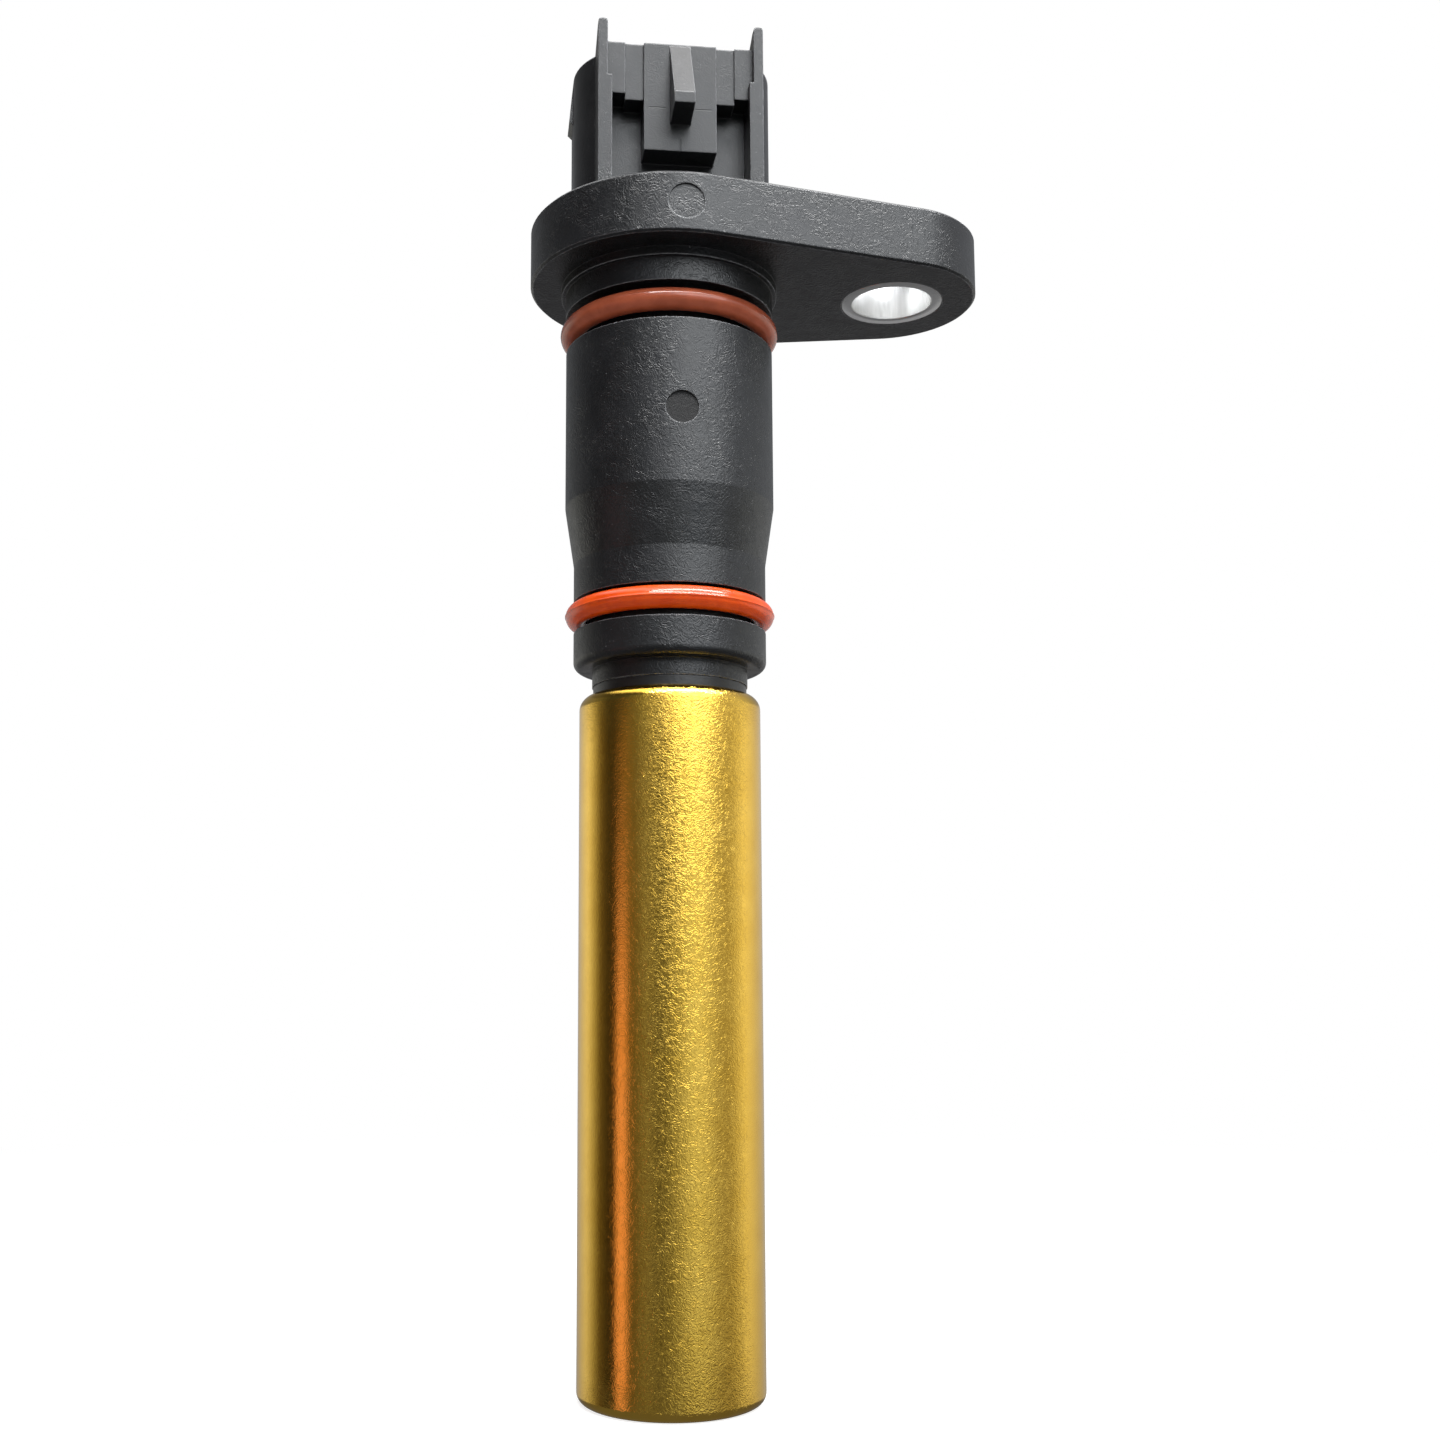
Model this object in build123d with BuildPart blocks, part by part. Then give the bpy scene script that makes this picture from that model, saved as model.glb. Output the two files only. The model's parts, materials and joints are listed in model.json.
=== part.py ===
from build123d import *
import math
import os

os.makedirs("parts", exist_ok=True)

# Crankshaft position sensor, millimetres. The Z axis is the probe's axis and points to the connector.
# Z = 0 is the flange's seat on the engine block, +X runs to the bolt ear, the latch faces -Y.

# Bolt ear and flange
bolt_hole_diameter = 8.4
bushing_wall = 1.2
bushing_chamfer = 0.2
bushing_head_proud = 0.2
ear_reach = 24.15
ear_centre_inboard = 1.1
ear_radius = 9.92
flange_radius = 14.62
flange_thickness = 6.2
flange_rim_chamfer = 0.25

# Pilot collar and barrel, each length measured down from the one above
root_ring_step = 0.45
root_ring_height = 0.9
pilot_radius = 10.9
pilot_depth = 3.3
upper_groove_width = 3.85
barrel_radius = 10.82
barrel_length = 16.65
taper_length = 6.15
lower_radius = 9.9
lower_barrel_length = 3.8
lower_groove_width = 3.25
land_length = 3.8
land_edge_radius = 0.8
rim_chamfer = 0.2
neck_radius = 7.97
neck_length = 1.75

# O-rings, each with a section of many flats
ring_flats = 16
bend_flats = 6
upper_ring_section = 2.5
upper_ring_outer_radius = 11.42
lower_ring_section = 2.3
lower_ring_outer_radius = 10.8
lower_ring_gap_above = 0.3
parting_ridge_height = 0.12
parting_ridge_width = 0.5
inner_seal_section = 1.35
inner_seal_height = 1.7
seal_clearance = 0.02

# Brass sleeve
sleeve_radius = 9.25
sleeve_wall = 0.6
sleeve_length = 69.3
sleeve_shoulder_radius = 1.5
sleeve_mouth_radius = 8.02
sleeve_end_radius = 1.05
sleeve_gap_below_neck = 0.95

# Connector body, one straight oval wall with a pocket for the latch in its front
body_width = 20.7
body_front_y = -9.1
body_back_y = 7.6
body_corner_radius = 7.0
mouth_height = 22.15
pocket_wall_y = -7.05
side_rib_height = 0.4
side_rib_width = 3.0
side_rib_below_mouth = 4.65

# Guide fins on both sides of the latch
fin_outer_x = 8.4
fin_thickness = 1.4
fin_upper_thickness = 0.95
fin_step_below_mouth = 4.05
fin_above_mouth = 1.95
fin_front_y = -10.7
fin_top_depth = 0.9
fin_mouth_depth = 5.8
fin_root_y = -3.5
fin_top_rounding = 0.3

# Latch plate, its wedge and the guide pads beside it
plate_half_width = 3.7
plate_front_y = -9.9
plate_foot_below_mouth = 11.45
inner_pad_width = 1.9
inner_pad_front_y = -9.5
inner_pad_foot_below_mouth = 6.0
outer_pad_front_y = -9.75
outer_pad_foot_below_mouth = 5.45
wedge_width = 2.1
wedge_reach = 3.6
wedge_lip_below_mouth = 7.1
wedge_lip_depth = 1.1
wedge_base_below_mouth = 8.65
wedge_root = 0.1

# Connector socket, wide at the mouth and narrow round the terminals
socket_wall = 1.5
mouth_depth = 12.8
mouth_corner_radius = 4.5
socket_side_ledge = 0.65
socket_front_ledge = 1.3
socket_corner_radius = 4.1
socket_step_below_mouth = 3.95
socket_floor = 9.0
key_rib_width = 1.0
key_rib_height = 0.8
key_rib_x = 5.0

# Terminals and the comb that holds them at their pitch
terminal_pitch = 4.6
blade_width = 1.6
blade_thickness = 0.8
blade_below_mouth = 2.95
blade_point = 0.7
stem_width = 1.0
stem_foot = 3.0
comb_width = 13.6
comb_depth = 5.0
comb_height = 3.5
moulded_fit = 0.04

# Leads from the terminals to the circuit board
lead_pitch = 2.2
lead_width = 1.0
lead_thickness = 0.5
lead_top = 5.3
lead_bend_top = 1.0
lead_bend_foot = -8.0
passage_room = 0.35

# Carrier of the sensing element
carrier_clearance = 0.14
spigot_radius = 6.0
spigot_length = 14.0
band_radius = 7.86
shoulder_chamfer = 0.55
seal_groove_top = 48.0
seal_groove_width = 2.0
tray_top = 55.0
tray_width = 10.4
tray_front_y = -2.6
tray_end_wall = 1.1
cover_fit = 0.08
carrier_end_chamfer = 1.15

# Circuit board and what it carries
board_width = 9.0
board_thickness = 1.0
board_top = 57.0
board_end_gap = 1.4
lead_solder_length = 3.5
capacitor_size = (3.2, 1.2, 1.6)
resistor_size = (2.0, 0.6, 1.25)
supply_capacitor_z = -66.0
signal_capacitor_z = -72.0
resistor_z = -80.0

# Sensing element, from the tip upwards
tip_pad_thickness = 0.4
tip_pad_radius = 7.2
chip_size = (5.4, 4.2, 1.6)
chip_leg_width = 0.5
chip_leg_thickness = 0.4
chip_leg_pitch = 1.6
chip_leg_y = -4.6
chip_leg_board_length = 4.0
leg_slot_room = 0.4
flux_plate_thickness = 1.0
magnet_radius = 3.5
magnet_length = 5.0
magnet_fit = 0.05

# Round moulding marks on the flange's rim and on the barrel
mark_depth = 0.2
flange_mark_radius = 1.8
barrel_mark_radius = 1.65
barrel_mark_below_rim = 9.2

# Heights that follow from the lengths above
barrel_top = -pilot_depth - upper_groove_width
taper_top = barrel_top - barrel_length
taper_foot = taper_top - taper_length
lower_groove_top = taper_foot - lower_barrel_length
land_top = lower_groove_top - lower_groove_width
land_foot = land_top - land_length
neck_end = land_foot - neck_length
sleeve_top = neck_end - sleeve_gap_below_neck
sleeve_foot = sleeve_top - sleeve_length
fin_top_height = mouth_height + fin_above_mouth
fin_step_height = mouth_height - fin_step_below_mouth
plate_foot_height = mouth_height - plate_foot_below_mouth
inner_pad_foot = mouth_height - inner_pad_foot_below_mouth
outer_pad_foot = mouth_height - outer_pad_foot_below_mouth
side_rib_foot = mouth_height - side_rib_below_mouth
wedge_lip_height = mouth_height - wedge_lip_below_mouth
wedge_base_height = mouth_height - wedge_base_below_mouth
socket_step_height = mouth_height - socket_step_below_mouth
blade_top = mouth_height - blade_below_mouth
sleeve_floor = sleeve_foot + sleeve_wall
spigot_top = neck_end + spigot_length
carrier_end = sleeve_floor + tip_pad_thickness
chip_top = carrier_end + chip_size[2]
flux_top = chip_top + flux_plate_thickness
magnet_top = flux_top + magnet_length
tray_foot = magnet_top + magnet_fit + tray_end_wall

# Radii and planes that follow from them
ear_centre = ear_reach - ear_centre_inboard
bushing_radius = bolt_hole_diameter / 2 + bushing_wall
upper_groove_floor = upper_ring_outer_radius - upper_ring_section - seal_clearance
lower_ring_face = lower_ring_outer_radius - parting_ridge_height
lower_groove_floor = lower_ring_face - lower_ring_section - seal_clearance
sleeve_bore = sleeve_radius - sleeve_wall
carrier_radius = sleeve_bore - carrier_clearance
seal_floor = sleeve_bore - 2 * seal_clearance - inner_seal_section
mouth_run = sleeve_mouth_radius - sleeve_radius + sleeve_shoulder_radius
mouth_rise = (sleeve_shoulder_radius**2 - mouth_run**2) ** 0.5
mouth_z = sleeve_top - sleeve_shoulder_radius + mouth_rise
shoulder_top = mouth_z - sleeve_wall - carrier_clearance
lead_y = blade_thickness / 2
board_y = lead_y + lead_thickness
tray_floor_y = board_y + board_thickness
comb_foot = socket_floor - comb_height
mouth_width = body_width - 2 * socket_wall
socket_width = mouth_width - 2 * socket_side_ledge
socket_depth = mouth_depth - 2 * socket_front_ledge
body_middle_y = (body_front_y + body_back_y) / 2
fin_inner_x = fin_outer_x - fin_upper_thickness
pocket_half_width = fin_outer_x - fin_thickness
outer_pad_x = plate_half_width + inner_pad_width
terminal_names = ("supply", "ground", "signal")
lead_places = [-1, 0, 1]


def save(builder, name):
    builder.part.label = name
    export_step(builder.part, f"parts/{name}.step")


def cut_corners(sketch, points, length):
    """Chamfer the sketch's corners that stand at the given points."""
    corners = []
    for vertex in sketch.vertices():
        if any((vertex.X - x) ** 2 + (vertex.Z - z) ** 2 < 1e-6 for x, z in points):
            corners.append(vertex)
    chamfer(corners, length)


def arc_points(middle, radius, first_angle, last_angle):
    """Points on an arc in the XZ plane, for a bend that is made of short flats."""
    flats = round(bend_flats)
    step = (last_angle - first_angle) / flats
    angles = [math.radians(first_angle + step * n) for n in range(flats + 1)]
    return [(middle[0] + radius * math.cos(a), middle[1] + radius * math.sin(a)) for a in angles]


def circles(part, radius):
    """The part's round edges of one radius."""
    return part.edges().filter_by(GeomType.CIRCLE).filter_by(lambda e: abs(e.radius - radius) < 0.01)


def front_block(first_x, last_x, front_y, foot):
    """A block on the body's front, from its face back into the pocket's wall, up to the mouth."""
    back_y = pocket_wall_y + socket_wall / 2
    with BuildSketch(Plane.XY.offset(foot)) as block:
        with Locations(((first_x + last_x) / 2, (front_y + back_y) / 2)):
            Rectangle(abs(last_x - first_x), back_y - front_y)
    extrude(block.sketch, amount=mouth_height - foot)


# Housing: flange, pilot collar, barrel, neck and connector, moulded in one piece
with BuildPart() as housing:
    with BuildSketch():
        Circle(flange_radius)
        with Locations((ear_centre, 0)):
            Circle(ear_radius)
        make_hull()
    extrude(amount=flange_thickness)
    rims = housing.edges().group_by(Axis.Z)
    chamfer(rims[0] + rims[-1], flange_rim_chamfer)

    # The turned outline of the collar, the barrel with its grooves, the taper and the neck
    with BuildSketch(Plane.XZ):
        with BuildLine():
            Polyline(
                (0, flange_thickness / 2),
                (pilot_radius + root_ring_step, flange_thickness / 2),
                (pilot_radius + root_ring_step, -root_ring_height),
                (pilot_radius, -root_ring_height),
                (pilot_radius, -pilot_depth),
                (upper_groove_floor, -pilot_depth),
                (upper_groove_floor, barrel_top),
                (barrel_radius, barrel_top),
                (barrel_radius, taper_top),
                (lower_radius, taper_foot),
                (lower_radius, lower_groove_top),
                (lower_groove_floor, lower_groove_top),
                (lower_groove_floor, land_top),
                (lower_radius, land_top),
                (lower_radius, land_foot),
                (neck_radius, land_foot),
                (neck_radius, neck_end),
                (0, neck_end),
                close=True,
            )
        outline = make_face()
        rim_points = [
            (pilot_radius, -pilot_depth),
            (barrel_radius, barrel_top),
            (lower_radius, lower_groove_top),
            (lower_radius, land_top),
        ]
        cut_corners(outline, rim_points, rim_chamfer)
    revolve(axis=Axis.Z)
    fillet(circles(housing, lower_radius).sort_by(Axis.Z)[0], land_edge_radius)

    # Connector body, then the pocket between the fins that leaves room for the plug's clip
    with BuildSketch(Plane.XY.offset(flange_thickness)):
        with Locations((0, body_middle_y)):
            RectangleRounded(body_width, body_back_y - body_front_y, body_corner_radius)
    extrude(amount=mouth_height - flange_thickness)
    with BuildSketch(Plane.XY.offset(flange_thickness)):
        with Locations((0, pocket_wall_y + body_front_y)):
            Rectangle(2 * pocket_half_width, -2 * body_front_y)
    extrude(amount=outer_pad_foot - flange_thickness, mode=Mode.SUBTRACT)

    # Coding rib on the body's side, flush at the mouth and thicker towards its foot
    with BuildSketch(Plane.XZ.offset(-side_rib_width / 2)):
        with BuildLine():
            Polyline(
                (-body_width / 2 + socket_wall / 2, mouth_height),
                (-body_width / 2, mouth_height),
                (-body_width / 2 - side_rib_height, side_rib_foot + side_rib_height),
                (-body_width / 2, side_rib_foot),
                (-body_width / 2 + socket_wall / 2, side_rib_foot),
                close=True,
            )
        make_face()
    extrude(amount=side_rib_width)

    # Guide pads in mirrored pairs, and the latch plate between them
    for side in (-1, 1):
        front_block(side * plate_half_width, side * outer_pad_x, inner_pad_front_y, inner_pad_foot)
        front_block(side * outer_pad_x, side * fin_inner_x, outer_pad_front_y, outer_pad_foot)
    front_block(-plate_half_width, plate_half_width, plate_front_y, plate_foot_height)

    # Latch wedge: a ramp that starts at the mouth and ends in a blunt lip
    with BuildSketch(Plane.YZ.offset(-wedge_width / 2)):
        with BuildLine():
            Polyline(
                (plate_front_y + wedge_root, mouth_height),
                (plate_front_y - wedge_reach, wedge_lip_height),
                (plate_front_y - wedge_reach, wedge_lip_height - wedge_lip_depth),
                (plate_front_y + wedge_root, wedge_base_height),
                close=True,
            )
        make_face()
    extrude(amount=wedge_width)

    # Guide fins from the flange to above the mouth, thinner in their upper part
    for side in (-1, 1):
        with BuildSketch(Plane.YZ.offset(side * fin_outer_x)):
            with BuildLine():
                Polyline(
                    (fin_front_y, flange_thickness),
                    (fin_front_y, fin_top_height),
                    (fin_front_y + fin_top_depth, fin_top_height),
                    (fin_front_y + fin_mouth_depth, mouth_height),
                    (fin_root_y, fin_step_height),
                    (fin_root_y, flange_thickness),
                    close=True,
                )
            make_face()
        extrude(amount=-side * fin_upper_thickness)
        with BuildSketch(Plane.YZ.offset(side * fin_outer_x)):
            with BuildLine():
                Polyline(
                    (fin_front_y, flange_thickness),
                    (fin_front_y, fin_step_height),
                    (fin_root_y, fin_step_height),
                    (fin_root_y, flange_thickness),
                    close=True,
                )
            make_face()
        extrude(amount=-side * fin_thickness)
    crests = housing.edges().filter_by(lambda e: e.center().Z > mouth_height + fin_top_rounding)
    fillet(crests.filter_by(lambda e: abs(e.tangent_at(0).X) < 0.01), fin_top_rounding)

    # Socket for the plug, narrow below and wide at the mouth, with two key ribs
    with BuildSketch(Plane.XY.offset(socket_floor)):
        RectangleRounded(socket_width, socket_depth, socket_corner_radius)
    extrude(amount=mouth_height - socket_floor, mode=Mode.SUBTRACT)
    with BuildSketch(Plane.XY.offset(socket_step_height)):
        RectangleRounded(mouth_width, mouth_depth, mouth_corner_radius)
    extrude(amount=mouth_height - socket_step_height, mode=Mode.SUBTRACT)
    with BuildSketch(Plane.XY.offset(socket_step_height)):
        with Locations((-key_rib_x, mouth_depth / 2), (key_rib_x, mouth_depth / 2)):
            Rectangle(key_rib_width, 2 * key_rib_height)
    extrude(amount=mouth_height - socket_step_height - key_rib_height)

    # Pocket of the terminal comb, lead passage and the bore that takes the carrier's spigot
    with BuildSketch(Plane.XY.offset(comb_foot)):
        Rectangle(comb_width + 2 * moulded_fit, comb_depth + 2 * moulded_fit)
    extrude(amount=comb_height, mode=Mode.SUBTRACT)
    passage_wide = terminal_pitch + stem_width / 2 + passage_room
    passage_narrow = lead_pitch + lead_width / 2 + passage_room
    with BuildSketch(Plane.XZ.offset(-board_y - passage_room)):
        with BuildLine():
            Polyline(
                (-passage_wide, comb_foot),
                (passage_wide, comb_foot),
                (passage_wide, lead_bend_top),
                (passage_narrow, lead_bend_foot),
                (passage_narrow, spigot_top),
                (-passage_narrow, spigot_top),
                (-passage_narrow, lead_bend_foot),
                (-passage_wide, lead_bend_top),
                close=True,
            )
        make_face()
    extrude(amount=board_y + 2 * passage_room + blade_thickness / 2, mode=Mode.SUBTRACT)
    with BuildSketch(Plane.XY.offset(neck_end)):
        Circle(spigot_radius + moulded_fit)
    extrude(amount=spigot_length + moulded_fit, mode=Mode.SUBTRACT)

    # Hole for the bushing
    with Locations((ear_reach, 0, flange_thickness)):
        Hole(bushing_radius)

    # Moulding marks, shallow round recesses that face the latch side
    with BuildSketch(Plane.XZ.offset(flange_radius - mark_depth)):
        with Locations((0, flange_thickness / 2)):
            Circle(flange_mark_radius)
    extrude(amount=2 * mark_depth, mode=Mode.SUBTRACT)
    with BuildSketch(Plane.XZ.offset(barrel_radius - mark_depth)):
        with Locations((0, barrel_top - barrel_mark_below_rim)):
            Circle(barrel_mark_radius)
    extrude(amount=2 * mark_depth, mode=Mode.SUBTRACT)
save(housing, "housing")

# Steel bushing that takes the bolt's clamp load, a little proud under the bolt's head
with BuildPart() as flange_bushing:
    with BuildSketch():
        with Locations((ear_reach, 0)):
            Circle(bushing_radius)
            Circle(bolt_hole_diameter / 2, mode=Mode.SUBTRACT)
    extrude(amount=flange_thickness + bushing_head_proud)
    chamfer(circles(flange_bushing, bolt_hole_diameter / 2), bushing_chamfer)
save(flange_bushing, "flange_bushing")

# Upper O-ring, a plain round section
upper_ring_z = -pilot_depth - upper_groove_width / 2
with BuildPart() as upper_o_ring:
    with BuildSketch(Plane.XZ):
        with Locations((upper_ring_outer_radius - upper_ring_section / 2, upper_ring_z)):
            RegularPolygon(upper_ring_section / 2, round(ring_flats))
    revolve(axis=Axis.Z)
save(upper_o_ring, "upper_o_ring")

# Lower O-ring, with the moulding ridge of its parting line round the outside
lower_ring_z = lower_groove_top - lower_ring_section / 2 - lower_ring_gap_above
with BuildPart() as lower_o_ring:
    with BuildSketch(Plane.XZ):
        with Locations((lower_ring_face - lower_ring_section / 2, lower_ring_z)):
            RegularPolygon(lower_ring_section / 2, round(ring_flats))
        with BuildLine():
            Polyline(
                (lower_ring_outer_radius, lower_ring_z),
                (lower_ring_face - parting_ridge_width / 2, lower_ring_z + parting_ridge_width),
                (lower_ring_face - parting_ridge_width / 2, lower_ring_z - parting_ridge_width),
                close=True,
            )
        make_face()
    revolve(axis=Axis.Z)
save(lower_o_ring, "lower_o_ring")

# Brass sleeve: a deep-drawn can with a closed end and its mouth rolled in over the carrier
with BuildPart() as sleeve:
    shoulder_middle = (sleeve_radius - sleeve_shoulder_radius, sleeve_top - sleeve_shoulder_radius)
    end_middle = (sleeve_radius - sleeve_end_radius, sleeve_foot + sleeve_end_radius)
    mouth_angle = math.degrees(math.atan2(mouth_rise, mouth_run))
    shoulder_bend = arc_points(shoulder_middle, sleeve_shoulder_radius, 0, mouth_angle)
    inner_bend = sleeve_end_radius - sleeve_wall
    with BuildSketch(Plane.XZ):
        with BuildLine():
            Polyline(
                (0, sleeve_foot),
                *arc_points(end_middle, sleeve_end_radius, -90, 0),
                *shoulder_bend,
                (sleeve_mouth_radius, mouth_z - sleeve_wall),
                (sleeve_bore, mouth_z - sleeve_wall - shoulder_chamfer),
                (sleeve_bore, sleeve_floor + inner_bend),
                (sleeve_bore - inner_bend, sleeve_floor),
                (0, sleeve_floor),
                close=True,
            )
        make_face()
    revolve(axis=Axis.Z)
save(sleeve, "sleeve")

# Element carrier: spigot in the housing, visible band, sealed head and the tray for the board
with BuildPart() as element_carrier:
    with BuildSketch(Plane.XZ):
        with BuildLine():
            Polyline(
                (0, spigot_top),
                (spigot_radius, spigot_top),
                (spigot_radius, neck_end),
                (band_radius, neck_end),
                (band_radius, shoulder_top),
                (carrier_radius, shoulder_top - shoulder_chamfer),
                (carrier_radius, -seal_groove_top),
                (seal_floor, -seal_groove_top),
                (seal_floor, -seal_groove_top - seal_groove_width),
                (carrier_radius, -seal_groove_top - seal_groove_width),
                (carrier_radius, carrier_end + carrier_end_chamfer),
                (carrier_radius - carrier_end_chamfer, carrier_end),
                (0, carrier_end),
                close=True,
            )
        make_face()
    revolve(axis=Axis.Z)

    # Slot for the leads through the spigot and head
    with BuildSketch(Plane.XY.offset(-tray_top)):
        with Locations((0, (board_y - blade_thickness / 2) / 2)):
            Rectangle(2 * passage_narrow, board_y + 2 * passage_room + blade_thickness / 2)
    extrude(amount=spigot_top + tray_top, mode=Mode.SUBTRACT)

    # Tray, open to the front, and the round pocket of the magnet and chip
    with BuildSketch(Plane.XY.offset(tray_foot)):
        with Locations((0, (tray_floor_y - carrier_radius) / 2)):
            Rectangle(tray_width, tray_floor_y + carrier_radius)
    extrude(amount=-tray_top - tray_foot, mode=Mode.SUBTRACT)
    with BuildSketch(Plane.XY.offset(carrier_end)):
        Circle(magnet_radius + magnet_fit)
    extrude(amount=magnet_top + magnet_fit - carrier_end, mode=Mode.SUBTRACT)

    # Slot in which the chip's legs rise beside the magnet into the tray
    slot_depth = -chip_leg_y + chip_leg_thickness + leg_slot_room
    with BuildSketch(Plane.XY.offset(carrier_end)):
        with Locations((0, -slot_depth / 2)):
            Rectangle(2 * chip_leg_pitch + chip_leg_width + 2 * leg_slot_room, slot_depth)
    extrude(amount=tray_foot - carrier_end, mode=Mode.SUBTRACT)
save(element_carrier, "element_carrier")

# Cover that closes the tray, flush with the carrier's round outside
with BuildPart() as tray_cover:
    with BuildSketch(Plane.XY.offset(tray_foot + cover_fit)):
        Circle(carrier_radius)
        with Locations((0, tray_front_y - carrier_radius)):
            Rectangle(tray_width - 2 * cover_fit, 2 * carrier_radius, mode=Mode.INTERSECT)
    extrude(amount=-tray_top - tray_foot - 2 * cover_fit)
save(tray_cover, "tray_cover")

# Seal between the carrier's head and the sleeve
with BuildPart() as sleeve_seal:
    seal_middle = seal_floor + seal_clearance + inner_seal_section / 2
    with BuildSketch(Plane.XZ):
        with Locations((seal_middle, -seal_groove_top - seal_groove_width / 2)):
            Rectangle(inner_seal_section, inner_seal_height)
    revolve(axis=Axis.Z)
save(sleeve_seal, "sleeve_seal")

# Terminal comb, a premoulded block that shows as the socket's floor
with BuildPart() as terminal_comb:
    with BuildSketch(Plane.XY.offset(comb_foot)):
        Rectangle(comb_width, comb_depth)
        with Locations(*[(place * terminal_pitch, 0) for place in lead_places]):
            Rectangle(blade_width + 2 * moulded_fit, blade_thickness + 2 * moulded_fit, mode=Mode.SUBTRACT)
    extrude(amount=comb_height)
save(terminal_comb, "terminal_comb")

# Terminals: pointed blades with a narrower stem below the comb
for place, name in zip(lead_places, terminal_names):
    with BuildPart() as terminal:
        blade_x = place * terminal_pitch
        half_blade = blade_thickness / 2
        with BuildSketch(Plane.YZ.offset(blade_x)):
            with BuildLine():
                Polyline(
                    (-half_blade, comb_foot),
                    (-half_blade, blade_top - blade_point),
                    (-half_blade / 2, blade_top),
                    (half_blade / 2, blade_top),
                    (half_blade, blade_top - blade_point),
                    (half_blade, comb_foot),
                    close=True,
                )
            make_face()
        extrude(amount=blade_width / 2, both=True)
        chamfer(terminal.faces().sort_by(Axis.Z)[-1].edges().filter_by(Axis.Y), half_blade / 2)
        with BuildSketch(Plane.XY.offset(comb_foot)):
            with Locations((blade_x, 0)):
                Rectangle(stem_width, blade_thickness)
        extrude(amount=stem_foot - comb_foot)
    save(terminal, f"terminal_{name}")

# Leads: stamped strips, welded behind the stems, that draw together and end on the board
for place, name in zip(lead_places, terminal_names):
    with BuildPart() as lead:
        wide_x = place * terminal_pitch
        narrow_x = place * lead_pitch
        half = lead_width / 2
        lead_foot = -board_top - lead_solder_length
        with BuildSketch(Plane.XZ.offset(-lead_y - lead_thickness)):
            with BuildLine():
                Polyline(
                    (wide_x - half, lead_top),
                    (wide_x + half, lead_top),
                    (wide_x + half, lead_bend_top),
                    (narrow_x + half, lead_bend_foot),
                    (narrow_x + half, lead_foot),
                    (narrow_x - half, lead_foot),
                    (narrow_x - half, lead_bend_foot),
                    (wide_x - half, lead_bend_top),
                    close=True,
                )
            make_face()
        extrude(amount=lead_thickness)
    save(lead, f"lead_{name}")

# Circuit board on the tray's floor
board_foot = tray_foot + board_end_gap
with BuildPart() as circuit_board:
    with BuildSketch(Plane.XZ.offset(-tray_floor_y)):
        with Locations((0, (-board_top + board_foot) / 2)):
            Rectangle(board_width, -board_top - board_foot)
    extrude(amount=board_thickness)
save(circuit_board, "circuit_board")

# Components on the board's front
components = (
    ("supply_capacitor", capacitor_size, -lead_pitch / 2, supply_capacitor_z),
    ("signal_capacitor", capacitor_size, lead_pitch / 2, signal_capacitor_z),
    ("load_resistor", resistor_size, lead_pitch, resistor_z),
)
for name, size, x, z in components:
    with BuildPart() as component:
        with BuildSketch(Plane.XZ.offset(-board_y)):
            with Locations((x, z)):
                Rectangle(size[0], size[2])
        extrude(amount=size[1])
    save(component, name)

# Insulating pad between the chip and the sleeve's closed end
with BuildPart() as tip_pad:
    with BuildSketch(Plane.XY.offset(sleeve_floor)):
        Circle(tip_pad_radius)
    extrude(amount=tip_pad_thickness)
save(tip_pad, "tip_pad")

# Hall chip, flat behind the sensing face
with BuildPart() as hall_chip:
    with BuildSketch(Plane.XY.offset(carrier_end)):
        Rectangle(chip_size[0], chip_size[1])
    extrude(amount=chip_size[2])
save(hall_chip, "hall_chip")

# Chip legs: out of its edge, up beside the magnet, through the end wall and onto the board
with BuildPart() as chip_legs:
    leg_path = (
        (-chip_size[1] / 2 - chip_leg_thickness / 2, carrier_end + chip_size[2] / 2),
        (chip_leg_y, carrier_end + chip_size[2] / 2),
        (chip_leg_y, magnet_top),
        (tray_front_y + leg_slot_room + chip_leg_thickness, tray_foot),
        (board_y - chip_leg_thickness / 2, board_foot + chip_leg_thickness),
        (board_y - chip_leg_thickness / 2, board_foot + chip_leg_board_length),
    )
    with BuildSketch(Plane.YZ.offset(-chip_leg_width / 2)):
        with BuildLine():
            Polyline(*leg_path)
            offset(amount=chip_leg_thickness / 2, kind=Kind.INTERSECTION)
        make_face()
    middle_leg = extrude(amount=chip_leg_width)
    with Locations((-chip_leg_pitch, 0, 0), (chip_leg_pitch, 0, 0)):
        add(middle_leg)
save(chip_legs, "chip_legs")

# Flux plate and bias magnet stacked behind the chip
with BuildPart() as flux_plate:
    with BuildSketch(Plane.XY.offset(chip_top)):
        Circle(magnet_radius)
    extrude(amount=flux_plate_thickness)
save(flux_plate, "flux_plate")

with BuildPart() as bias_magnet:
    with BuildSketch(Plane.XY.offset(flux_top)):
        Circle(magnet_radius)
    extrude(amount=magnet_length)
save(bias_magnet, "bias_magnet")
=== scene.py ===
"""Looks of the crankshaft position sensor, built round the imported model."""

import json
import math

import bmesh
import bpy
from mathutils import Matrix, Vector


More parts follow.
